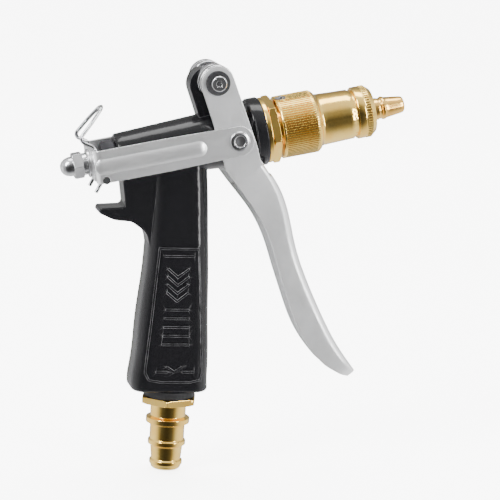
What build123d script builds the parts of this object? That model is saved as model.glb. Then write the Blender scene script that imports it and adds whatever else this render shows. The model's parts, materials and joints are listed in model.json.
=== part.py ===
from build123d import *
import math
import os

# Trigger-operated spray gun: hose tail, cast grip and tilted barrel, front lever, yoke and nozzle.
# Origin at the centre of the hose tail's end face, +Z up the grip, +X toward the outlet.
# The main shapes are symmetric about Y = 0.
# Barrel coordinates: s along the barrel axis (forward), t up across it, y sideways.

os.makedirs("parts", exist_ok=True)

# ---------------------------------------------------------------- shared dimensions
BARREL_TILT = 12.1            # degrees the barrel rises toward the outlet
BARREL_Z = 163.85             # height of the barrel axis where it crosses X = 0
PIVOT = PIVOT_X, PIVOT_Z = 13.0, 197.0
RIVET_S, RIVET_T = 25.6, 0.0
RUN_FIT = 0.06                # radial clearance of turning and sliding fits
SHEET = 1.6

BARB_BORE_R = 5.6
SPIGOT_R = 9.0
BARB_TOP = 54.0
INLET_HEX_Z = (34.2, 37.6)
GRIP_BOTTOM = 41.6

FLANGE_BACK, FLANGE_FRONT = 35.4, 40.8
CAVITY_R = 9.0
CAVITY_BACK = -14.0
BARREL_BACK = -32.8
GLAND_BORE_R = 6.5
GLAND_BORE_END = -22.0

LUG_HALF = 5.5
ARM_IN = 14.9                 # lever arms, distance from the middle plane
ARM_OUT = ARM_IN + SHEET
YOKE_IN = 16.8
YOKE_OUT = YOKE_IN + SHEET
YOKE_REAR = -46.0
BOLT_R = 2.0
RIVET_R = 3.0

STEM_R = 3.0
STEM_HOLE_R = STEM_R + RUN_FIT
COLLAR_BACK, DISC_BACK, DISC_FRONT = 21.6, 23.6, 27.2
SEAT_BACK, SEAT_FRONT = 28.0, 31.5
SEAT_BORE_R = 4.7

PIN_S, PIN_T, PIN_R = -41.9, -6.6, 1.0
CLIP_Y = 10.3                 # sideways distance of the clip legs
CORE_R = 9.0

SIDES = (-1, 1)
FROM_BASE = (Align.CENTER, Align.CENTER, Align.MIN)

cos_tilt = math.cos(math.radians(BARREL_TILT))
sin_tilt = math.sin(math.radians(BARREL_TILT))
BARREL = Plane(origin=(0, 0, BARREL_Z), x_dir=(0, 1, 0), z_dir=(cos_tilt, 0, sin_tilt))
SIDE = Plane(origin=(0, 0, BARREL_Z), x_dir=(cos_tilt, 0, sin_tilt), z_dir=(0, -1, 0))


# ---------------------------------------------------------------- helpers
def world(s, t):
    """(X, Z) of a point given along and across the barrel."""
    return s * cos_tilt - t * sin_tilt, BARREL_Z + s * sin_tilt + t * cos_tilt


def on_barrel(shape):
    """Move a shape whose Z is s, Y is t and X is y onto the barrel."""
    return BARREL.location * shape


def facing_y(centre, y=0, sign=1):
    """Location at (X, Z) centre and distance y whose local Z points along +Y or -Y."""
    return Plane(origin=(centre[0], y, centre[1]), x_dir=(1, 0, 0), z_dir=(0, sign, 0)).location


def poly(points):
    return make_face(Polyline(*points, close=True))


def rounded(points):
    """Closed face through (x, y, corner radius) points with tangent arcs."""
    count = len(points)
    corners = []              # arc start, arc middle, arc end
    for i in range(count):
        before, corner, after = (
            Vector(points[j % count][0], points[j % count][1]) for j in (i - 1, i, i + 1)
        )
        radius = points[i][2]
        if not radius:
            corners.append((corner, None, corner))
            continue
        to_before = (before - corner).normalized()
        to_after = (after - corner).normalized()
        half = math.radians(to_before.get_angle(to_after)) / 2
        cut = radius / math.tan(half)
        centre = corner + (to_before + to_after).normalized() * (radius / math.sin(half))
        middle = centre + (corner - centre).normalized() * radius
        corners.append((corner + to_before * cut, middle, corner + to_after * cut))
    edges = []
    for i in range(count):
        start, middle, end = corners[i]
        if middle is not None:
            edges.append(ThreePointArc(start, middle, end))
        following = corners[(i + 1) % count][0]
        if (following - end).length > 1e-6:
            edges.append(Line(end, following))
    return make_face(edges)


def turned(points):
    """Solid of revolution about local Z from (radius, z) points."""
    return revolve(Plane.XZ * poly(points), Axis.Z)


def tube(outer, inner, start, end, bevel=0.0):
    """Tube along Z, with bevelled outer rims if asked."""
    if bevel:
        return turned([
            (inner, start), (outer - bevel, start), (outer, start + bevel),
            (outer, end - bevel), (outer - bevel, end), (inner, end),
        ])
    return turned([(inner, start), (outer, start), (outer, end), (inner, end)])


def post(radius, height):
    return Cylinder(radius, height, align=FROM_BASE)


def cyl_y(centre, radius, y0, y1):
    """Cylinder along Y at (X, Z) centre, between two distances in either order."""
    start, end = sorted((y0, y1))
    return facing_y(centre, start) * post(radius, end - start)


def cross_hole(centre, radius):
    return cyl_y(centre, radius, -30, 30)


def hexagon(across_flats, start, end, turn=0.0, bevel=0.6):
    """Hexagonal prism along Z with its corners turned off at both ends."""
    radius = across_flats / math.sqrt(3)
    angles = [math.radians(60 * i + turn) for i in range(6)]
    points = [(radius * math.cos(angle), radius * math.sin(angle)) for angle in angles]
    prism = Pos(0, 0, start) * extrude(poly(points), amount=end - start)
    end_r = radius - (radius - across_flats / 2) * 0.62
    envelope = turned([
        (0, start), (end_r, start), (radius + 0.01, start + bevel),
        (radius + 0.01, end - bevel), (end_r, end), (0, end),
    ])
    return prism & envelope


def wire_run(points, radius, bend):
    """Round wire through points with rounded corners."""
    vectors = [Vector(*point) for point in points]
    edges = []
    current = vectors[0]
    for before, corner, after in zip(vectors, vectors[1:], vectors[2:]):
        to_before = (before - corner).normalized()
        to_after = (after - corner).normalized()
        angle = to_before.get_angle(to_after)
        if angle > 176:       # nearly straight, no bend needed
            continue
        half = math.radians(angle / 2)
        limit = 0.45 * min((before - corner).length, (after - corner).length)
        cut = min(bend / math.tan(half), limit)
        start, end = corner + to_before * cut, corner + to_after * cut
        centre = corner + (to_before + to_after).normalized() * (cut / math.cos(half))
        middle = centre + (corner - centre).normalized() * (cut * math.tan(half))
        edges.append(Line(current, start))
        edges.append(ThreePointArc(start, middle, end))
        current = end
    edges.append(Line(current, vectors[-1]))
    path = Wire(edges)
    section = Plane(origin=path @ 0, z_dir=path % 0) * Circle(radius)
    return sweep(section, path=path, transition=Transition.RIGHT)


def knurled(outer, depth, count, start, end):
    """Straight-knurled bar along Z."""
    pitch = math.pi / count * 1.6
    tooth = ((-0.55, outer - depth), (-0.25, outer), (0.25, outer), (0.55, outer - depth))
    points = []
    for i in range(count):
        middle = 2 * math.pi * i / count
        for shift, radius in tooth:
            angle = middle + shift * pitch
            points.append((radius * math.cos(angle), radius * math.sin(angle)))
    return Pos(0, 0, start) * extrude(poly(points), amount=end - start)


def save(shape, name):
    solids = shape.solids()
    result = solids[0] if len(solids) == 1 else Compound(children=list(solids))
    export_step(result, f"parts/{name}.step")


def save_group(shapes, name):
    """Save the first solid of each shape together as one piece."""
    save(Compound(children=[shape.solids()[0] for shape in shapes]), name)


def save_on_barrel(shape, name):
    save(on_barrel(shape), name)


RIVET = world(RIVET_S, RIVET_T)
PIN = world(PIN_S, PIN_T)

# ---------------------------------------------------------------- hose tail
RING_R = (8.3, 9.45, 10.95)   # the three barb rings, from the bottom
RING_Z = (3.5, 13.7, 25.2)
INLET_HEX_FLATS = 26.0

(low_r, mid_r, top_r), (low_z, mid_z, top_z) = RING_R, RING_Z
barb = turned([
    (BARB_BORE_R, 0), (6.5, 0), (7.3, 0.7), (7.7, 1.7),
    (low_r, low_z - 0.8), (low_r, low_z + 0.8), (7.5, low_z + 1.6),
    (7.9, mid_z - 4.0), (8.1, mid_z - 1.9),
    (mid_r, mid_z - 1.0), (mid_r, mid_z + 1.0), (8.7, mid_z + 1.7),
    (8.7, top_z - 2.2), (top_r, top_z - 1.25), (top_r, top_z + 1.25), (8.9, top_z + 2.2),
    (8.9, INLET_HEX_Z[0]), (8.98, INLET_HEX_Z[0]), (SPIGOT_R, 36),
    (SPIGOT_R, BARB_TOP - 0.8), (SPIGOT_R - 0.8, BARB_TOP), (BARB_BORE_R, BARB_TOP),
])
inlet_hex = hexagon(INLET_HEX_FLATS, *INLET_HEX_Z, turn=76.6, bevel=0.5)
inlet_hex -= Pos(0, 0, 35) * Cylinder(BARB_BORE_R, 12)
save(barb + inlet_hex, "hose_barb")
save(tube(12.9, SPIGOT_R, INLET_HEX_Z[1], GRIP_BOTTOM, 0.4), "inlet_gasket")

# ---------------------------------------------------------------- casting
# grip stations: height, front edge X, rear edge X, width
GRIP = [
    (GRIP_BOTTOM, 18.4, -20.3, 26.4), (58.0, 17.6, -19.6, 26.4), (72.0, 16.9, -18.8, 26.4),
    (86.1, 16.2, -17.7, 26.2), (101.0, 15.7, -16.2, 25.6), (116.0, 14.9, -15.5, 25.0),
    (130.0, 14.2, -15.0, 23.6), (145.0, 13.4, -14.8, 21.8), (157.0, 12.8, -14.6, 20.6),
]
GRIP_CORNER_R = 8.0
# fin side outline: X, Z, corner radius
FIN = [
    (2, 112, 0), (-14.6, 112, 0), (-16.4, 121.2, 8), (-24.4, 126.6, 6), (-33.0, 127.2, 12),
    (-40.8, 130.6, 1.3), (-40.2, 133.0, 1.1), (-27.7, 133.8, 2.0), (-29.5, 145.4, 8),
    (-29.6, 153.0, 0), (2, 158.0, 0),
]
FIN_HALF = 8.0
# barrel outline: radius, s
BARREL_END_R, BARREL_R, FLANGE_R = 12.0, 14.6, 17.0
BARREL_PROFILE = [
    (0, BARREL_BACK), (BARREL_END_R - 0.8, BARREL_BACK), (BARREL_END_R, BARREL_BACK + 0.8),
    (14.0, 10.0), (BARREL_R, 18.0), (BARREL_R, 31.0), (15.3, 33.0),
    (FLANGE_R - 0.6, FLANGE_BACK - 1.0), (FLANGE_R, FLANGE_BACK),
    (FLANGE_R, FLANGE_FRONT - 0.6), (FLANGE_R - 0.6, FLANGE_FRONT), (0, FLANGE_FRONT),
]
BARREL_FLAT_Y = 14.65         # side flats that let the lever arms pass
LUG_X, LUG_Z = PIVOT_X - 2.9, PIVOT_Z - 2.2
LUG_R = 8.6
LUG_DIR = (0.354, -0.935)     # from the lug's round end down to the barrel
# raised border on the grip faces: X, Z
BORDER = [
    (8.8, 114.5), (-10.6, 114.5), (-12.6, 86.0), (-15.2, 52.0), (-13.2, 48.4),
    (-7.0, 47.4), (7.4, 47.4), (12.8, 48.6), (13.6, 52.0), (11.2, 86.0),
]
BORDER_WIDTH, RIB_WIDTH, RELIEF_HEIGHT = 0.9, 1.0, 0.6
WATERWAY_R = 6.6
SPIGOT_HOLE_TOP = BARB_TOP + 0.2


def grip_loft(swell):
    sections = []
    for z, front, rear, width in GRIP:
        outline = RectangleRounded(
            front - rear + 2 * swell, width + 2 * swell, GRIP_CORNER_R + swell
        )
        sections.append(Pos((front + rear) / 2, 0, z) * outline)
    return loft(sections)


def rib(x0, z0, x1, z1):
    """Round-ended rib seen from the side."""
    length = math.hypot(x1 - x0, z1 - z0)
    angle = math.degrees(math.atan2(z1 - z0, x1 - x0))
    place = Pos((x0 + x1) / 2, (z0 + z1) / 2) * Rot(0, 0, angle)
    return place * SlotOverall(length + RIB_WIDTH, RIB_WIDTH)


def relief_outline():
    """Border, chevrons and bars raised on each face of the grip."""
    ribs = [(-8.2, 110.8, 6.6, 110.8)]
    for row in range(4):
        z = 104.5 - 4.0 * row
        ribs += [(-6.0, z, -1.0, z - 4.2), (4.2, z, -1.0, z - 4.2)]
    for row in range(5):
        z = 84.0 - 4.4 * row
        ribs.append((-6.4 - 0.25 * row, z, 5.0 + 0.25 * row, z))
    ribs += [
        (-9.6, 52.6, -4.2, 52.6), (-4.2, 55.0, -0.6, 52.6),
        (3.0, 55.0, -0.6, 52.6), (3.6, 52.6, 9.0, 52.6),
    ]
    face = poly(BORDER)
    outline = offset(face, BORDER_WIDTH / 2, kind=Kind.ARC)
    outline -= offset(face, -BORDER_WIDTH / 2, kind=Kind.ARC)
    for ends in ribs:
        outline = outline + rib(*ends)
    return outline


def lug_point(across, along):
    """Point across (toward the front) and along the lug from its round centre."""
    dir_x, dir_z = LUG_DIR
    return LUG_X - across * dir_z + along * dir_x, LUG_Z + across * dir_x + along * dir_z


grip = grip_loft(0.0)
grip = fillet(grip.faces().sort_by(Axis.Z)[0].edges(), 2.0)

# fin behind the grip with the hand hook
fin = extrude(Plane.XZ * rounded(FIN), amount=FIN_HALF, both=True)
fin_edges = [
    edge for edge in fin.edges()
    if abs(abs(edge.center().Y) - FIN_HALF) < 0.01
    and edge.center().X < -13 and edge.center().Z < 150
]
fin = fillet(fin_edges, 1.0)

barrel = on_barrel(turned(BARREL_PROFILE))
for side in SIDES:
    barrel -= on_barrel(Pos(side * (BARREL_FLAT_Y + 5), 0, FLANGE_BACK - 20) * Box(10, 60, 40))

# lug that carries the lever pivot
lug_face = poly([
    lug_point(LUG_R, 0), lug_point(-LUG_R, 0), lug_point(-LUG_R, 21.5),
    world(26.5, 12.0), lug_point(LUG_R, 16.5),
]) + Pos(LUG_X, LUG_Z) * Circle(LUG_R)
lug = extrude(Plane.XZ * lug_face, amount=LUG_HALF, both=True)

casting = grip + fin + barrel + lug

swollen_grip = grip_loft(RELIEF_HEIGHT)
relief = relief_outline()
for side in SIDES:
    block = extrude(Plane.XZ * relief, amount=-side * 20)
    casting += (block & swollen_grip) - Pos(0, 0, 80) * Box(80, 18, 120)

cavity = on_barrel(tube(CAVITY_R, 0, CAVITY_BACK, FLANGE_FRONT + 1))
stem_hole = on_barrel(tube(STEM_HOLE_R, 0, CAVITY_BACK - 10, CAVITY_BACK + 1))
gland_bore = on_barrel(tube(GLAND_BORE_R, 0, BARREL_BACK - 1, GLAND_BORE_END))
waterway = Pos(0, 0, 100) * Cylinder(WATERWAY_R, 120)
spigot_hole = Pos(0, 0, (GRIP_BOTTOM + SPIGOT_HOLE_TOP) / 2 - 0.5) * Cylinder(
    SPIGOT_R, SPIGOT_HOLE_TOP - GRIP_BOTTOM + 1.0
)
pivot_hole = cyl_y(PIVOT, BOLT_R, -10, 10)
casting = casting - cavity - stem_hole - gland_bore - waterway - spigot_hole - pivot_hole
save(casting.solids().sort_by(SortBy.VOLUME)[-1], "body_casting")

# ---------------------------------------------------------------- pivot
WASHER_OUT = ARM_OUT + 1.0    # outer face of the pivot washers
BOLT_END_Y = 21.6
HEAD_R, HEAD_HEIGHT = 3.8, 3.0
SOCKET_FLATS = 3.0
NUT_FLATS, NUT_HEIGHT = 7.0, 3.2
WASHER_R, SPACER_R = 6.0, 8.6

shank = cyl_y(PIVOT, BOLT_R, -WASHER_OUT, BOLT_END_Y)
head = cyl_y(PIVOT, HEAD_R, -WASHER_OUT - HEAD_HEIGHT, -WASHER_OUT)
head = chamfer(head.edges().sort_by(Axis.Y)[0], 0.4)
socket = facing_y(PIVOT, -WASHER_OUT - HEAD_HEIGHT - 0.1) * extrude(
    RegularPolygon(SOCKET_FLATS / math.sqrt(3), 6), amount=2.3
)
save(shank + head - socket, "pivot_bolt")

washers = [
    cyl_y(PIVOT, WASHER_R, side * ARM_OUT, side * WASHER_OUT) - cross_hole(PIVOT, BOLT_R)
    for side in SIDES
]
save_group(washers, "pivot_washers")

nut = facing_y(PIVOT) * hexagon(NUT_FLATS, WASHER_OUT, WASHER_OUT + NUT_HEIGHT, 20, 0.35)
save(nut - cyl_y(PIVOT, BOLT_R, 0, 30), "pivot_nut")

# two discs on each side fill the gap between lug and lever arm
spacers = []
for side in SIDES:
    for near, far in ((LUG_HALF, 10.1), (10.2, ARM_IN - 0.05)):
        disc = cyl_y(PIVOT, SPACER_R, side * near, side * far)
        disc = chamfer(disc.edges().filter_by(GeomType.CIRCLE), 0.4)
        spacers.append(disc - cross_hole(PIVOT, BOLT_R))
save_group(spacers, "pivot_spacers")

# ---------------------------------------------------------------- lever
# handle front line: X, Z, half-width, outer corner radius
HANDLE = [
    (37.8, 158.4, 16.5, 2.2), (43.0, 152.7, 15.6, 3.0), (50.8, 141.0, 12.9, 4.0),
    (54.8, 131.0, 11.2, 4.4), (58.2, 119.5, 9.7, 4.4), (62.2, 108.0, 9.0, 4.4),
    (66.6, 97.9, 8.7, 4.2), (76.2, 78.8, 8.3, 4.0), (83.6, 66.2, 7.9, 3.8),
    (87.4, 60.8, 7.5, 3.5), (90.4, 56.9, 6.7, 3.0), (92.7, 54.1, 5.5, 2.5),
    (94.3, 52.2, 4.1, 2.1), (95.3, 51.0, 2.8, 1.7),
]
# rear edge of the handle's side flanges: X, Z
HANDLE_REAR = [
    (19.3, 154.6), (27.1, 145.1), (35.2, 135.4), (39.6, 130.0), (45.6, 118.6), (53.4, 96.7),
    (62.9, 73.7), (71.0, 61.6), (79.0, 54.0), (87.0, 49.6), (93.0, 47.6),
]
# arm side outline: X, Z
ARM = [
    (PIVOT_X + 7.8, PIVOT_Z + 2.8), (PIVOT_X - 7.6, PIVOT_Z - 2.9), (13.1, 173.8),
    (19.3, 154.6), (25.6, 146.9), (38.0, 158.15), (36.3, 160.1), (33.9, 168.0),
]
ARM_EYE_R = 8.1
MISSED_DEPTH, MIN_DEPTH = 4.0, 2.4


def handle_tangent(i):
    """Unit (X, Z) direction down the handle at a station."""
    above = HANDLE[max(i - 1, 0)]
    below = HANDLE[min(i + 1, len(HANDLE) - 1)]
    length = math.hypot(below[0] - above[0], below[1] - above[1])
    return (below[0] - above[0]) / length, (below[1] - above[1]) / length


def flange_depth(x, z, normal):
    """Distance from the front line back to the flange edge, along normal."""
    hits = []
    for (x0, z0), (x1, z1) in zip(HANDLE_REAR, HANDLE_REAR[1:]):
        run, rise = x1 - x0, z1 - z0
        cross = normal[0] * rise - normal[1] * run
        if abs(cross) < 1e-9:
            continue
        distance = ((x0 - x) * rise - (z0 - z) * run) / cross
        share = ((x0 - x) * normal[1] - (z0 - z) * normal[0]) / cross
        if distance > 0 and -0.001 <= share <= 1.001:
            hits.append(distance)
    return max(min(hits, default=MISSED_DEPTH), MIN_DEPTH)


def handle_section(i):
    """U section across the handle, its open side toward the rear."""
    x, z, half, radius = HANDLE[i]
    tan_x, tan_z = handle_tangent(i)
    depth = flange_depth(x, z, (tan_z, -tan_x))
    inner, inner_r = half - SHEET, max(radius - SHEET, 0.4)
    return Plane(origin=(x, 0, z), x_dir=(0, 1, 0), z_dir=(tan_x, 0, tan_z)) * rounded([
        (-half, -depth, 0), (-half, 0, radius), (half, 0, radius), (half, -depth, 0),
        (inner, -depth, 0), (inner, -SHEET, inner_r), (-inner, -SHEET, inner_r),
        (-inner, -depth, 0),
    ])


channel = loft([handle_section(i) for i in range(len(HANDLE))])
# the front wall is open above the bend so that it clears the barrel collar
bend_x, bend_z = HANDLE[1][:2]
tan_x, tan_z = handle_tangent(1)
bend_plane = Plane(origin=(bend_x, 0, bend_z), x_dir=(0, 1, 0), z_dir=(-tan_x, 0, -tan_z))
lever = channel - bend_plane.location * Pos(0, 0, 15) * Box(2 * ARM_IN, 60, 30)

arm_face = poly(ARM) + Pos(PIVOT_X + 0.1, PIVOT_Z) * Circle(ARM_EYE_R)
for side in SIDES:
    arm_y = max(side * ARM_IN, side * ARM_OUT)
    lever += Pos(0, arm_y, 0) * extrude(Plane.XZ * arm_face, amount=SHEET)
lever = lever - cross_hole(PIVOT, BOLT_R + RUN_FIT) - cross_hole(RIVET, RIVET_R)
save(lever, "trigger_lever")

# ---------------------------------------------------------------- rivets
# outline: radius, distance from the middle plane
RIVET_PROFILE = [
    (0, ARM_IN), (RIVET_R, ARM_IN), (RIVET_R, YOKE_OUT + 0.06), (5.0, YOKE_OUT + 0.06),
    (5.0, YOKE_OUT + 0.5), (4.6, YOKE_OUT + 1.1), (3.7, YOKE_OUT + 1.4),
    (3.0, YOKE_OUT + 1.4), (2.7, YOKE_OUT + 0.95), (0, YOKE_OUT + 0.75),
]
save_group([facing_y(RIVET, 0, side) * turned(RIVET_PROFILE) for side in SIDES], "yoke_rivets")

# ---------------------------------------------------------------- yoke
RIVET_PLAY = 0.75             # the open joint between lever and yoke
YOKE_END_R = 7.3
# side outline: s, t
YOKE_SIDE = [
    (YOKE_REAR - 2, -8.1), (-10, -8.1), (RIVET_S, -YOKE_END_R), (RIVET_S, YOKE_END_R),
    (-10, 7.9), (YOKE_REAR - 2, 7.9),
]
BEAD_HEIGHT, BEAD_HALF_WIDTH = 1.0, 3.8
BEAD_BACK, BEAD_FRONT = YOKE_REAR + 3.6, 9.0 - BEAD_HALF_WIDTH
BEAD_R = (BEAD_HALF_WIDTH ** 2 + BEAD_HEIGHT ** 2) / (2 * BEAD_HEIGHT)


def yoke_block(half_width, height, length, rear, radius):
    """Block open to the front, its two rear edges rounded."""
    block = Pos(0, 0, rear) * Box(2 * half_width, height, length, align=FROM_BASE)
    edges = block.edges().filter_by(Axis.Y)
    return fillet([edge for edge in edges if abs(edge.center().Z - rear) < 0.1], radius)


def bead(radius, side, keep_from):
    """Round bar with domed ends in one side plate, kept beyond a sideways distance."""
    def arc(start_s, degrees):
        angles = [math.radians(degree) for degree in degrees]
        return [
            (radius * math.cos(angle), start_s + radius * math.sin(angle)) for angle in angles
        ]

    bar = turned(
        [(0, BEAD_BACK - radius)] + arc(BEAD_BACK, range(-80, 1, 8))
        + arc(BEAD_FRONT, range(0, 81, 8)) + [(0, BEAD_FRONT + radius)]
    )
    bar = Pos(side * (YOKE_OUT + BEAD_HEIGHT - BEAD_R), 0, 0) * bar
    return on_barrel(bar & Pos(side * (keep_from + 10), 0, 0) * Box(20, 40, 200))


strip = on_barrel(
    yoke_block(YOKE_OUT, 60, 120, YOKE_REAR, 3.4)
    - yoke_block(YOKE_IN, 70, 130, YOKE_REAR + SHEET, 1.8)
)
yoke_face = poly(YOKE_SIDE) + Pos(RIVET_S, RIVET_T) * Circle(YOKE_END_R)
yoke = strip & extrude(SIDE * yoke_face, amount=40, both=True)
# pressed bead along each side, hollow on the inside
for side in SIDES:
    yoke += bead(BEAD_R, side, YOKE_OUT - 0.2)
    yoke -= bead(BEAD_R - SHEET, side, YOKE_IN - 0.4)
yoke -= on_barrel(tube(STEM_HOLE_R, 0, -60, -40))
yoke -= cross_hole(RIVET, RIVET_R + RIVET_PLAY)
yoke -= cross_hole(PIN, PIN_R)
# notches in the rear wall for the clip wire
for side in SIDES:
    for notch_t in (-7.2, 8.8):
        yoke -= on_barrel(Pos(side * (CLIP_Y + 0.1), notch_t, YOKE_REAR) * Box(3.4, 6.0, 8.0))
save(yoke, "yoke")

# ---------------------------------------------------------------- stem stack
save_on_barrel(tube(7.0, STEM_HOLE_R, -47.6, YOKE_REAR, 0.3), "yoke_washer")

split = Pos(4.2, 0.8, -48.8) * Rot(0, 18, 0) * Box(4, 0.7, 6)
save_on_barrel(tube(5.4, STEM_HOLE_R, -50.0, -47.65, 0.2) - split, "spring_washer")

dome = turned([
    (0, -61.0), (1.6, -60.8), (3.1, -59.9), (4.2, -58.4), (4.8, -56.4), (4.8, -54.6),
    (4.8, -54.0), (0, -54.0),
])
cap_bore = turned([(0, -57.2), (STEM_R, -57.2), (STEM_R, -49), (0, -49)])
save_on_barrel(hexagon(12.0, -54.7, -50.05, 0, 0.5) + dome - cap_bore, "cap_nut")

stem_nut = hexagon(10.0, YOKE_REAR + SHEET + 0.02, -41.9, 0, 0.3)
save_on_barrel(stem_nut - Pos(0, 0, -43) * Cylinder(STEM_R, 10), "stem_nut")

stem = turned([
    (0, -56.6), (STEM_R - 0.5, -56.6), (STEM_R, -56.1), (STEM_R, DISC_FRONT), (3.9, 27.4),
    (3.9, 28.6), (2.6, 29.6), (0, 29.6),
])
save_on_barrel(stem, "valve_stem")

gland = hexagon(16.3, -40.0, -33.5, 90, 0.8) + tube(8.1, 0, -33.6, BARREL_BACK)
gland += tube(GLAND_BORE_R, 0, BARREL_BACK - 0.1, -27.0)
gland -= Pos(0, 0, -33) * Cylinder(STEM_HOLE_R, 30)
save_on_barrel(gland, "gland_nut")
save_on_barrel(tube(6.45, STEM_R + 0.02, -26.95, GLAND_BORE_END, 0.3), "gland_packing")

save_on_barrel(tube(7.2, STEM_R, COLLAR_BACK, DISC_BACK, 0.3), "spring_collar")
save_on_barrel(tube(6.9, STEM_R, DISC_BACK, DISC_FRONT, 0.4), "valve_disc")
seat = turned([
    (SEAT_BORE_R, SEAT_BACK), (5.0, DISC_FRONT), (5.6, DISC_FRONT), (5.9, SEAT_BACK),
    (CAVITY_R, SEAT_BACK), (CAVITY_R, SEAT_FRONT), (SEAT_BORE_R, SEAT_FRONT),
])
save_on_barrel(seat, "valve_seat")

# ---------------------------------------------------------------- spring
SPRING_R, SPRING_WIRE_R, SPRING_TURNS = 5.7, 0.7, 8
spring_back = CAVITY_BACK + SPRING_WIRE_R + 0.05
spring_length = COLLAR_BACK - SPRING_WIRE_R - 0.05 - spring_back
helix = Helix(
    pitch=spring_length / SPRING_TURNS, height=spring_length, radius=SPRING_R,
    center=(0, 0, spring_back),
)
wire_section = Plane(origin=helix @ 0, z_dir=helix % 0) * Circle(SPRING_WIRE_R)
save_on_barrel(sweep(wire_section, path=helix, is_frenet=True), "valve_spring")

# ---------------------------------------------------------------- hold-open clip
WIRE_R = 0.9
LEG_S = -43.35
# half of the clip's wire line, ending on the middle plane: s, y, t
CLIP_HALF = [
    (LEG_S, -CLIP_Y, -6.6), (LEG_S, -CLIP_Y, 6.3), (-44.6, -CLIP_Y + 0.4, 9.2),
    (-51.0, -8.9, 13.2), (-42.6, -7.0, 20.6), (-36.9, -3.6, 25.6), (-36.0, 0.0, 26.4),
]


def clip_wire(points, bend):
    """Clip wire through (s, y, t) points."""
    placed = []
    for s, y, t in points:
        x, z = world(s, t)
        placed.append((x, y, z))
    return wire_run(placed, WIRE_R, bend)


clip = clip_wire(CLIP_HALF + [(s, -y, t) for s, y, t in reversed(CLIP_HALF[:-1])], 3.2)
for side in SIDES:
    leg_y = side * CLIP_Y
    eye = cyl_y(PIN, 2.0 + WIRE_R, leg_y - WIRE_R, leg_y + WIRE_R)
    clip += chamfer(eye.edges().filter_by(GeomType.CIRCLE), 0.5)
    clip += clip_wire([(LEG_S, leg_y, -6.0), (-43.6, leg_y, -8.8), (-47.0, leg_y, -13.0)], 2.5)
clip -= cross_hole(PIN, PIN_R + RUN_FIT)
save(clip, "latch_clip")

pin = cyl_y(PIN, PIN_R, -YOKE_OUT, YOKE_OUT)
for side in SIDES:
    pin += cyl_y(PIN, 1.9, side * YOKE_OUT, side * (YOKE_OUT + 0.7))
save(pin, "latch_pin")

# ---------------------------------------------------------------- outlet core
save_on_barrel(tube(16.3, CORE_R, FLANGE_FRONT, 43.2, 0.35), "outlet_ring")
lock_nut = hexagon(29.4, 43.3, 47.3, 15, 0.6) - Pos(0, 0, 45) * Cylinder(CORE_R, 20)
save_on_barrel(lock_nut, "lock_nut")

core = turned([
    (SEAT_BORE_R, SEAT_FRONT), (CORE_R - 0.6, SEAT_FRONT), (CORE_R, SEAT_FRONT + 0.6),
    (CORE_R, 49.2), (7.6, 49.2), (7.6, 56.0), (CORE_R, 56.0), (CORE_R, 60.0),
    (7.2, 60.0), (7.2, 65.0), (CORE_R, 65.0), (CORE_R, 72.0),
    (7.0, 76.0), (3.4, 84.0), (2.2, 92.0), (0, 92.0), (0, 72.5), (SEAT_BORE_R, 69.0),
])
# slanted ports through the cone
for angle in (0, 90, 180, 270):
    core -= Rot(0, 0, angle) * Pos(5.2, 0, 75.4) * Rot(0, 35, 0) * Cylinder(1.7, 14)
save_on_barrel(core, "outlet_core")
# ring seal in a groove wide enough for the sleeve's travel
save_on_barrel(Pos(0, 0, 61.0) * Torus(8.13, 0.9), "sleeve_seal")

# ---------------------------------------------------------------- nozzle sleeve
SLEEVE_R, SLEEVE_BORE_R = 15.6, 9.06
SLEEVE_KNURLS, COLLAR_KNURLS = 80, 60
SCREW_S, SCREW_R = 51.9, 2.9
SCREW_TURN = math.radians(12.0)   # about the barrel, from straight up toward -Y
COLLAR_START, SLEEVE_END = 88.4, 92.6
NECK_R = 10.2
TIP_BACK, COLLAR_END = 93.6, 97.4

sleeve_body = turned([
    (0, 48.7), (14.9, 48.7), (SLEEVE_R, 49.3), (SLEEVE_R, 67.0), (14.7, 68.2), (13.1, 69.4),
    (12.9, 70.4), (12.35, 86.2), (11.6, 86.6), (11.6, COLLAR_START), (NECK_R, COLLAR_START),
    (NECK_R, SLEEVE_END), (0, SLEEVE_END),
])
knurl = knurled(SLEEVE_R, 0.55, SLEEVE_KNURLS, 48.0, 95.0)
rim = tube(SLEEVE_R, 0, 47.9, 50.0) + tube(14.95, 0, 50.0, 51.0)
rim = rim + tube(SLEEVE_R - 0.1, 0, 65.8, 96)
sleeve = sleeve_body & (knurl + rim)
sleeve -= turned([
    (0, 48), (SLEEVE_BORE_R, 48), (SLEEVE_BORE_R, 75.2), (9.0, 76.5), (7.2, 84.0), (7.2, 94),
    (0, 94),
])
# boss land for the stop screw
screw_axis = Plane(
    origin=(0, 0, SCREW_S), x_dir=(0, 0, 1),
    z_dir=(-math.sin(SCREW_TURN), math.cos(SCREW_TURN), 0),
).location
land = screw_axis * Pos(0, 0, 8) * post(3.7, 7.3)
sleeve += land - Pos(0, 0, 60) * Cylinder(SLEEVE_BORE_R, 60)
sleeve -= screw_axis * post(SCREW_R, 30)
save_on_barrel(sleeve, "nozzle_sleeve")

screw = screw_axis * (Pos(0, 0, 7.8) * post(1.6, 2.2) + Pos(0, 0, 10.0) * post(SCREW_R, 5.2))
screw_socket = screw_axis * Pos(0, 0, 13.6) * extrude(RegularPolygon(1.6, 6), amount=3)
save_on_barrel(screw - screw_socket, "set_screw")

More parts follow.
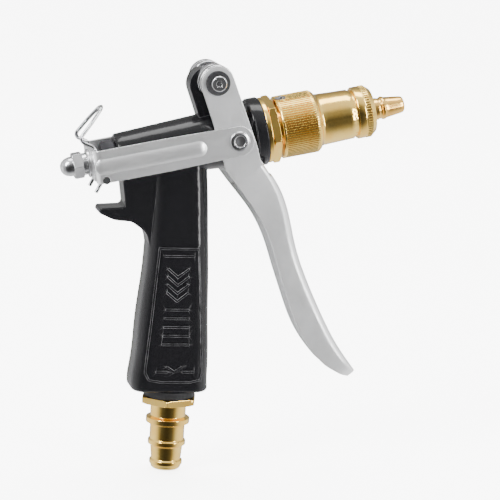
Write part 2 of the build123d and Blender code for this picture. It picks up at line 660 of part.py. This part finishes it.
# ---------------------------------------------------------------- collar and tip
TIP_R, TIP_SEAT_R, TIP_BORE_R = 5.0, 3.2, 1.6
collar_body = turned([
    (0, COLLAR_START), (12.6, COLLAR_START), (13.0, 88.9), (13.0, 91.6), (12.7, 92.0),
    (12.7, 92.4), (13.1, 92.7), (13.1, 94.9), (12.7, 95.3), (11.0, COLLAR_END),
    (0, COLLAR_END),
])
collar_knurl = knurled(13.1, 0.35, COLLAR_KNURLS, 92.2, 95.0)
collar = collar_body & (collar_knurl + tube(14, 0, 88.0, 92.4) + tube(14, 0, 94.9, 98.0))
collar -= turned([
    (0, 87), (NECK_R, 87), (NECK_R, SLEEVE_END), (7.4, SLEEVE_END), (7.4, TIP_BACK),
    (TIP_R, TIP_BACK), (TIP_R, 99), (0, 99),
])
save_on_barrel(collar, "nozzle_collar")
save_on_barrel(tube(7.35, TIP_SEAT_R, SLEEVE_END + 0.05, TIP_BACK), "tip_gasket")

tip = turned([
    (TIP_SEAT_R, TIP_BACK), (TIP_R, TIP_BACK), (TIP_R, COLLAR_END), (5.5, COLLAR_END),
    (5.5, 100.6), (5.2, 101.2), (5.2, 102.2), (5.8, 102.9), (5.8, 103.8), (5.3, 104.6),
    (4.2, 112.8), (3.9, 113.8), (3.2, 114.3), (TIP_BORE_R, 114.3), (TIP_BORE_R, 101.0),
    (TIP_SEAT_R, 97.0),
])
save_on_barrel(tip, "jet_tip")
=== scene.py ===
"""Looks and stage for a hand-held trigger nozzle with a hose barb.

The barrel axis lies in the XZ plane and rises toward +X. The camera looks along +Y,
turned a little toward +X and down. Lengths are in metres unless a name ends in _MM.
"""
import bpy
import bmesh
import json
import math
from mathutils import Matrix, Vector

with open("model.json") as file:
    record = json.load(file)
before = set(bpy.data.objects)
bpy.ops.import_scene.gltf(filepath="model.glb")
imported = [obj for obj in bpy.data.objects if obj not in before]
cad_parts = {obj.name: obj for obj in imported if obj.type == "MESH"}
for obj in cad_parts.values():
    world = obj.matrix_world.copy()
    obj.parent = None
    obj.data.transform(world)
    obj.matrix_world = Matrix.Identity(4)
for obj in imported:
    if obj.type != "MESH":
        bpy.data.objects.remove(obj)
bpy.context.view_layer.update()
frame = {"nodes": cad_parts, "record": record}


MM = 0.001
BARREL_TILT = math.radians(12.1)
BARREL_AXIS = (math.cos(BARREL_TILT), 0.0, math.sin(BARREL_TILT))
Z_AXIS = (0.0, 0.0, 1.0)


# ------------------------------------------------------------------ node graphs
def rgb(red, green, blue):
    return (red, green, blue, 1.0)


def grey(value):
    return rgb(value, value, value)


class Graph:
    """A node tree, emptied, with short ways to add nodes. Inputs take sockets or values."""

    def __init__(self, tree):
        self.tree = tree
        tree.nodes.clear()

    def node(self, kind, **settings):
        node = self.tree.nodes.new(kind)
        for key, value in settings.items():
            setattr(node, key, value)
        return node

    def feed(self, socket, value):
        if isinstance(value, bpy.types.NodeSocket):
            self.tree.links.new(value, socket)
        else:
            socket.default_value = value

    def dot(self, first, second):
        node = self.node("ShaderNodeVectorMath", operation="DOT_PRODUCT")
        self.feed(node.inputs[0], first)
        self.feed(node.inputs[1], second)
        return node.outputs["Value"]

    def remap(self, value, to, span=(0.3, 0.7)):
        """Map the range span onto the range to, clamped."""
        node = self.node("ShaderNodeMapRange")
        node.inputs["From Min"].default_value, node.inputs["From Max"].default_value = span
        node.inputs["To Min"].default_value, node.inputs["To Max"].default_value = to
        self.feed(node.inputs["Value"], value)
        return node.outputs["Result"]

    def mix(self, factor, first, second, **settings):
        """Mix two colours; the sockets used are the colour ones of the Mix node."""
        node = self.node("ShaderNodeMix", data_type="RGBA", **settings)
        for index, value in ((0, factor), (6, first), (7, second)):
            self.feed(node.inputs[index], value)
        return node.outputs[2]

    def math(self, operation, first, second):
        node = self.node("ShaderNodeMath", operation=operation)
        self.feed(node.inputs[0], first)
        self.feed(node.inputs[1], second)
        return node.outputs[0]

    def add(self, first, second):
        return self.math("ADD", first, second)

    def multiply(self, first, second):
        return self.math("MULTIPLY", first, second)


class Material(Graph):
    """A new material with one Principled surface, textured in object coordinates."""

    def __init__(self, name):
        self.material = bpy.data.materials.new(name)
        self.material.use_nodes = True
        super().__init__(self.material.node_tree)
        output = self.node("ShaderNodeOutputMaterial")
        self.surface = self.node("ShaderNodeBsdfPrincipled")
        self.feed(output.inputs["Surface"], self.surface.outputs[0])
        self.position = self.node("ShaderNodeTexCoord").outputs["Object"]

    def set(self, **inputs):
        """Set surface inputs by name, with underscores for spaces."""
        for key, value in inputs.items():
            self.feed(self.surface.inputs[key.replace("_", " ")], value)

    def noise(self, scale, detail, stretch=None, roughness=0.5, along=None):
        """Noise value; stretch scales the coordinates, along varies it in one direction only."""
        node = self.node("ShaderNodeTexNoise")
        node.inputs["Scale"].default_value = scale
        node.inputs["Detail"].default_value = detail
        node.inputs["Roughness"].default_value = roughness
        if along is not None:
            node.noise_dimensions = "1D"
            self.feed(node.inputs["W"], self.dot(self.position, along))
            return node.outputs["Fac"]
        source = self.position
        if stretch is not None:
            mapping = self.node("ShaderNodeMapping")
            mapping.inputs["Scale"].default_value = stretch
            self.feed(mapping.inputs["Vector"], source)
            source = mapping.outputs["Vector"]
        self.feed(node.inputs["Vector"], source)
        return node.outputs["Fac"]

    def bump(self, height, distance, strength, normal=None):
        node = self.node("ShaderNodeBump")
        if normal is not None:
            self.feed(node.inputs["Normal"], normal)
        node.inputs["Distance"].default_value = distance
        node.inputs["Strength"].default_value = strength
        self.feed(node.inputs["Height"], height)
        self.set(Normal=node.outputs["Normal"])

    def rounded_normal(self, radius):
        node = self.node("ShaderNodeBevel", samples=8)
        node.inputs["Radius"].default_value = radius
        return node.outputs[0]

    def edge_mask(self, rounded, span=(0.90, 0.995)):
        """1 on sharp edges, where the rounded normal leaves the true one; 0 on flats."""
        true_normal = self.node("ShaderNodeNewGeometry").outputs["Normal"]
        return self.remap(self.dot(rounded, true_normal), to=(1.0, 0.0), span=span)


# ------------------------------------------------------------------ materials
def gloss_black():
    """Black gloss paint with orange peel, dust and lighter edges, which are partly rubbed paint
    and partly a painted glint.
    """
    paint = Material("gloss_black")
    peel = paint.noise(scale=420.0, detail=2.0)
    fine = paint.noise(scale=2600.0, detail=3.0)
    dust = paint.noise(scale=5200.0, detail=2.0)
    patches = paint.noise(scale=300.0, detail=3.0)
    rounded = paint.rounded_normal(radius=0.00035)
    # Edges lightened in patches: partly rubbed paint, partly a painted glint on sharp edges.
    rub_and_glint = paint.multiply(
        paint.edge_mask(rounded, span=(0.86, 0.99)),
        paint.remap(patches, to=(0.25, 1.0), span=(0.35, 0.6)),
    )
    dust_amount = paint.remap(dust, to=(0.0, 0.35), span=(0.62, 0.80))
    colour = paint.mix(dust_amount, rgb(0.0032, 0.0032, 0.0038), rgb(0.016, 0.016, 0.017))
    paint.set(
        # grey 0.085 on the edges is the painted glint together with rubbed paint
        Base_Color=paint.mix(rub_and_glint, colour, rgb(0.085, 0.085, 0.088)),
        Roughness=paint.remap(fine, to=(0.12, 0.22)),
        Specular_IOR_Level=0.30,
        Coat_Weight=0.08,
        Coat_Roughness=0.06,
    )
    height = paint.add(peel, paint.multiply(fine, 0.05))
    paint.bump(height, distance=0.00007, strength=0.5, normal=rounded)
    return paint.material


def metal(name, base, dark, rough, grain_depth, grain=None, lathe=None, spots=0.25,
          spot_colour=None, blotch=1.0, metallic=1.0, painted_edge_highlight=None, edge_radius=0.0002):
    """Metal clouded from base to dark, with spots.

    grain stretches the surface grain and lathe is the axis of turning marks.
    The edge colour argument is a painted highlight laid on sharp edges, which are also made
    smoother.
    worn is the colour of rubbed edges.
    """
    shader = Material(name)
    cloud = shader.noise(scale=140.0, detail=4.0)
    speck = shader.noise(scale=1900.0, detail=3.0)
    rounded = shader.rounded_normal(edge_radius)
    if grain is not None:
        surface_grain = shader.noise(scale=1.0, detail=5.0, stretch=grain, roughness=0.65)
    else:
        surface_grain = shader.noise(scale=1500.0, detail=4.0)

    cloud_amount = shader.remap(cloud, to=(0.0, blotch), span=(0.38, 0.66))
    spot_amount = shader.remap(speck, to=(0.0, spots), span=(0.60, 0.80))
    colour = shader.mix(cloud_amount, base, dark)
    colour = shader.mix(spot_amount, colour, spot_colour or dark)
    roughness = shader.add(
        shader.remap(surface_grain, to=rough),
        shader.remap(cloud, to=(-0.02, 0.04)),
    )
    # painted highlight: sharp edges mixed toward the near-white edge colour and made smoother
    if painted_edge_highlight is not None:
        rub_and_glint = shader.edge_mask(rounded)
        colour = shader.mix(rub_and_glint, colour, painted_edge_highlight)
        polish = shader.remap(rub_and_glint, to=(1.0, 0.55), span=(0.0, 1.0))
        roughness = shader.multiply(roughness, polish)
    shader.set(Base_Color=colour, Metallic=metallic, Roughness=roughness)

    height = surface_grain
    if lathe is not None:
        turning = shader.noise(scale=5200.0, detail=3.0, along=lathe)
        height = shader.add(turning, shader.multiply(speck, 0.25))
    shader.bump(height, distance=grain_depth, strength=0.6, normal=rounded)
    return shader.material


def soft(name, base, rough, scale, height, specular):
    """Non-metal with mottled colour and a fine uneven surface."""
    shader = Material(name)
    coarse = shader.noise(scale, detail=4.0)
    fine = shader.noise(scale * 5, detail=2.0)
    lighter = rgb(*(min(1.0, value * 1.7 + 0.004) for value in base[:3]))
    shader.set(
        Base_Color=shader.mix(shader.remap(coarse, to=(0.0, 0.5)), base, lighter),
        Roughness=shader.remap(fine, to=(rough - 0.06, rough + 0.08)),
        Specular_IOR_Level=specular,
    )
    relief = shader.add(coarse, shader.multiply(fine, 0.3))
    shader.bump(relief, distance=height, strength=0.7)
    return shader.material


BRASS = dict(base=rgb(1.0, 0.69, 0.19), dark=rgb(0.96, 0.60, 0.13),
             grain_depth=0.000007, spots=0.15)
ZINC = dict(spots=0.10, blotch=0.7)
# The near-white edge colours in these entries are painted edge highlights.
METALS = {
    "brass": dict(rough=(0.09, 0.16), lathe=BARREL_AXIS, **BRASS),
    "brass_z": dict(rough=(0.08, 0.15), lathe=Z_AXIS, **BRASS),
    "tip_brass": dict(
        base=rgb(0.96, 0.60, 0.17), dark=rgb(0.88, 0.50, 0.12),
        rough=(0.12, 0.20), lathe=BARREL_AXIS, grain_depth=0.00001),
    "zinc_sheet": dict(
        base=rgb(0.90, 0.903, 0.907), dark=rgb(0.80, 0.805, 0.815), painted_edge_highlight=grey(0.97),
        rough=(0.34, 0.44), grain=(900.0, 500.0, 120.0), grain_depth=0.000006,
        metallic=0.95, edge_radius=0.0004, **ZINC),
    "zinc_yoke": dict(
        base=rgb(0.94, 0.943, 0.947), dark=rgb(0.85, 0.855, 0.865), painted_edge_highlight=grey(0.98),
        rough=(0.28, 0.38), grain=(90.0, 500.0, 1400.0), grain_depth=0.000007,
        metallic=0.96, edge_radius=0.0005, **ZINC),
    "steel": dict(
        base=rgb(0.74, 0.74, 0.75), dark=rgb(0.60, 0.60, 0.62), painted_edge_highlight=grey(0.95),
        rough=(0.14, 0.24), grain_depth=0.000006),
    "spring_steel": dict(
        base=rgb(0.76, 0.765, 0.775), dark=rgb(0.62, 0.62, 0.64),
        rough=(0.12, 0.22), grain_depth=0.000006),
    "dark_steel": dict(
        base=rgb(0.035, 0.035, 0.038), dark=rgb(0.02, 0.02, 0.022),
        spot_colour=grey(0.08), rough=(0.30, 0.42), grain_depth=0.000012),
}
SOFTS = {
    "black_washer": dict(base=rgb(0.012, 0.012, 0.013), rough=0.30,
                         scale=900.0, height=0.00002, specular=0.5),
    "black_rubber": dict(base=rgb(0.006, 0.006, 0.0065), rough=0.50,
                         scale=800.0, height=0.00004, specular=0.18),
    "white_packing": dict(base=rgb(0.72, 0.70, 0.66), rough=0.60,
                          scale=700.0, height=0.00006, specular=0.3),
}
MATERIALS = {"gloss_black": gloss_black()}
for name, look in METALS.items():
    MATERIALS[name] = metal(name, **look)
for name, look in SOFTS.items():
    MATERIALS[name] = soft(name, **look)

# ------------------------------------------------------------------ pieces
SLOT_OF = {part["node"]: part["material_slot"] for part in frame["record"]["subparts"]}
# pieces whose material differs from their slot
LOOK_OF = {"hose_barb": "brass_z", "yoke": "zinc_yoke"}
# bevel widths; pieces not listed get no bevel
BEVEL_MM = {
    "trigger_lever": 0.22, "yoke": 0.22, "cap_nut": 0.15, "stem_nut": 0.12,
    "lock_nut": 0.22, "hose_barb": 0.18, "gland_nut": 0.2, "pivot_nut": 0.12,
    "pivot_bolt": 0.12, "pivot_washers": 0.15, "pivot_spacers": 0.2,
    "yoke_rivets": 0.12, "yoke_washer": 0.12, "spring_washer": 0.1,
    "outlet_ring": 0.2, "jet_tip": 0.15, "set_screw": 0.12, "inlet_gasket": 0.3,
}
WELD_DISTANCE = 2e-6
BEVEL_ANGLE = math.radians(28)


def dress(piece, material):
    piece.data.materials.clear()
    piece.data.materials.append(material)
    for polygon in piece.data.polygons:
        polygon.material_index = 0


def soften(piece, width_mm):
    """Weld the mesh, round its sharp edges and even out the shading."""
    weld = piece.modifiers.new("weld", "WELD")
    weld.merge_threshold = WELD_DISTANCE
    if width_mm:
        bevel = piece.modifiers.new("bevel", "BEVEL")
        bevel.width = width_mm * MM
        bevel.segments = 3
        bevel.limit_method = "ANGLE"
        bevel.angle_limit = BEVEL_ANGLE
        bevel.use_clamp_overlap = True
        bevel.harden_normals = False
    normals = piece.modifiers.new("wn", "WEIGHTED_NORMAL")
    normals.keep_sharp = True


for name, piece in frame["nodes"].items():
    dress(piece, MATERIALS[LOOK_OF.get(name, SLOT_OF.get(name, "steel"))])
    soften(piece, BEVEL_MM.get(name, 0.0))

# ------------------------------------------------------------------ camera
TARGET = Vector((37.55 * MM, 0, 112.10 * MM))
AZIMUTH = math.radians(13.4)  # turned from +Y toward +X
ELEVATION = math.radians(10.4)  # looking down
ROLL = math.radians(3.3)  # right side of the camera raised
CAMERA_DISTANCE = 1.1
SENSOR_MM = 36.0
LENS_MM = 158.4

forward = Vector((
    math.sin(AZIMUTH) * math.cos(ELEVATION),
    math.cos(AZIMUTH) * math.cos(ELEVATION),
    -math.sin(ELEVATION),
))
level_right = Vector((math.cos(AZIMUTH), -math.sin(AZIMUTH), 0))
# level direction away from the camera, and the one to its right
away = Vector((forward.x, forward.y, 0)).normalized()
side = Vector((away.y, -away.x, 0))


def link_object(name, data):
    item = bpy.data.objects.new(name, data)
    bpy.context.scene.collection.objects.link(item)
    return item


def add_camera():
    data = bpy.data.cameras.new("cam")
    camera = link_object("cam", data)
    level_up = level_right.cross(forward)
    right = level_right * math.cos(ROLL) + level_up * math.sin(ROLL)
    up = level_up * math.cos(ROLL) - level_right * math.sin(ROLL)
    pose = Matrix((right, up, -forward)).transposed().to_4x4()
    pose.translation = TARGET - forward * CAMERA_DISTANCE
    camera.matrix_world = pose
    data.sensor_width = SENSOR_MM
    data.lens = LENS_MM
    data.clip_start, data.clip_end = 0.01, 100.0
    bpy.context.scene.camera = camera


# ------------------------------------------------------------------ floor and backdrop
FLOOR_NEAR = -6.0
CURVE_START = 1.2
CURVE_RADIUS = 0.9
CURVE_STEPS = 14
BACKDROP_TOP = 5.0
FLOOR_DROP = 0.0004  # keeps the floor just below z = 0
COLUMN_PITCH = 0.8
COLUMNS_PER_SIDE = 6


def floor_material():
    shader = Material("floor")
    cloud = shader.remap(shader.noise(scale=6.0, detail=3.0), to=(0.0, 1.0))
    shader.set(
        Base_Color=shader.mix(cloud, rgb(0.90, 0.90, 0.895), grey(0.92)),
        Roughness=0.65,
        Specular_IOR_Level=0.2,
        Emission_Color=grey(1.0),
        Emission_Strength=5.0,
    )
    return shader.material


def add_sweep(material):
    """Floor that curves up into a backdrop behind the object; hidden from reflections."""
    profile = [(FLOOR_NEAR, 0.0), (CURVE_START, 0.0)]  # distance away, height
    for step in range(1, CURVE_STEPS + 1):
        angle = math.pi / 2 * step / CURVE_STEPS
        profile.append((CURVE_START + CURVE_RADIUS * math.sin(angle),
                        CURVE_RADIUS - CURVE_RADIUS * math.cos(angle)))
    profile.append((CURVE_START + CURVE_RADIUS, BACKDROP_TOP))

    mesh = bmesh.new()
    rows = []
    for distance, height in profile:
        row = []
        for column in range(-COLUMNS_PER_SIDE, COLUMNS_PER_SIDE + 1):
            point = away * distance + side * (column * COLUMN_PITCH)
            row.append(mesh.verts.new((point.x, point.y, height - FLOOR_DROP)))
        rows.append(row)
    for near, far in zip(rows, rows[1:]):
        for i in range(len(near) - 1):
            mesh.faces.new((near[i], near[i + 1], far[i + 1], far[i]))
    data = bpy.data.meshes.new("sweep")
    mesh.to_mesh(data)
    mesh.free()
    for polygon in data.polygons:
        polygon.use_smooth = True
    sweep = link_object("sweep", data)
    data.materials.append(material)
    sweep.visible_glossy = False


# ------------------------------------------------------------------ world
# (position, brightness): position 0 faces away from the camera, 1 toward it
CAMERA_STOPS = (
    (0.0, 0.30), (0.09, 0.42), (0.22, 1.0), (0.45, 1.1), (0.63, 0.95),
    (0.745, 0.62), (0.82, 0.30), (0.90, 0.09), (1.0, 0.03),
)
# (position, brightness): position 0 is straight down, 1 straight up
HEIGHT_STOPS = (
    (0.0, 1.0), (0.30, 1.15), (0.44, 1.15), (0.51, 0.75), (0.58, 1.1),
    (0.69, 1.1), (0.765, 0.75), (0.86, 1.1), (1.0, 1.0),
)
DARK_TILT = math.radians(-16.0)  # the dark side toward the camera centres below level
AMBIENT = 0.95  # what all but glossy rays see
WORLD_STRENGTH = 1.3


def brightness_toward(graph, view, direction, stops):
    """Brightness by how nearly the view lies along a direction."""
    ramp = graph.node("ShaderNodeValToRGB")
    elements = ramp.color_ramp.elements
    elements[0].position, elements[0].color = stops[0][0], grey(stops[0][1])
    elements[1].position, elements[1].color = stops[-1][0], grey(stops[-1][1])
    for position, value in stops[1:-1]:
        elements.new(position).color = grey(value)
    facing = graph.remap(graph.dot(view, direction), to=(0.0, 1.0), span=(-1.0, 1.0))
    graph.feed(ramp.inputs["Fac"], facing)
    return ramp.outputs["Color"]


def add_world():
    """Surroundings seen in the metal: dark toward the camera, with soft level bands."""
    world = bpy.data.worlds.new("world")
    bpy.context.scene.world = world
    world.use_nodes = True
    graph = Graph(world.node_tree)
    output = graph.node("ShaderNodeOutputWorld")
    background = graph.node("ShaderNodeBackground")
    graph.feed(output.inputs[0], background.outputs[0])
    view = graph.node("ShaderNodeTexCoord").outputs["Generated"]
    dark_side = (-away.x * math.cos(DARK_TILT), -away.y * math.cos(DARK_TILT),
                 math.sin(DARK_TILT))
    base = brightness_toward(graph, view, dark_side, CAMERA_STOPS)
    bands = brightness_toward(graph, view, Z_AXIS, HEIGHT_STOPS)
    glow = graph.mix(1.0, base, bands, blend_type="MULTIPLY")
    glossy = graph.node("ShaderNodeLightPath").outputs["Is Glossy Ray"]
    gain = graph.node("ShaderNodeVectorMath", operation="SCALE")
    graph.feed(gain.inputs[0], graph.mix(glossy, grey(AMBIENT), glow))
    gain.inputs["Scale"].default_value = 1.0
    graph.feed(background.inputs["Color"], gain.outputs[0])
    background.inputs["Strength"].default_value = WORLD_STRENGTH


# ------------------------------------------------------------------ lights
# name, place (right of, above, toward the camera from the target), width, height, watts
LIGHTS = (
    ("key", (-0.75, 0.75, 0.75), 0.30, 0.8, 19.0),
    ("fill", (0.95, 0.25, 0.65), 0.22, 0.9, 11.0),
    ("top", (0.0, 1.2, -0.1), 0.9, 0.5, 10.0),
)


def add_light(name, place, width, height, power):
    x, y, z = place
    data = bpy.data.lights.new(name, "AREA")
    data.energy = power
    data.shape = "RECTANGLE"
    data.size = width
    data.size_y = height
    light = link_object(name, data)
    light.location = at = TARGET + level_right * x + Vector(Z_AXIS) * y - away * z
    light.rotation_euler = (TARGET - at).to_track_quat("-Z", "Y").to_euler()


floor = floor_material()
add_camera()
add_sweep(floor)
add_world()
for light_row in LIGHTS:
    add_light(*light_row)
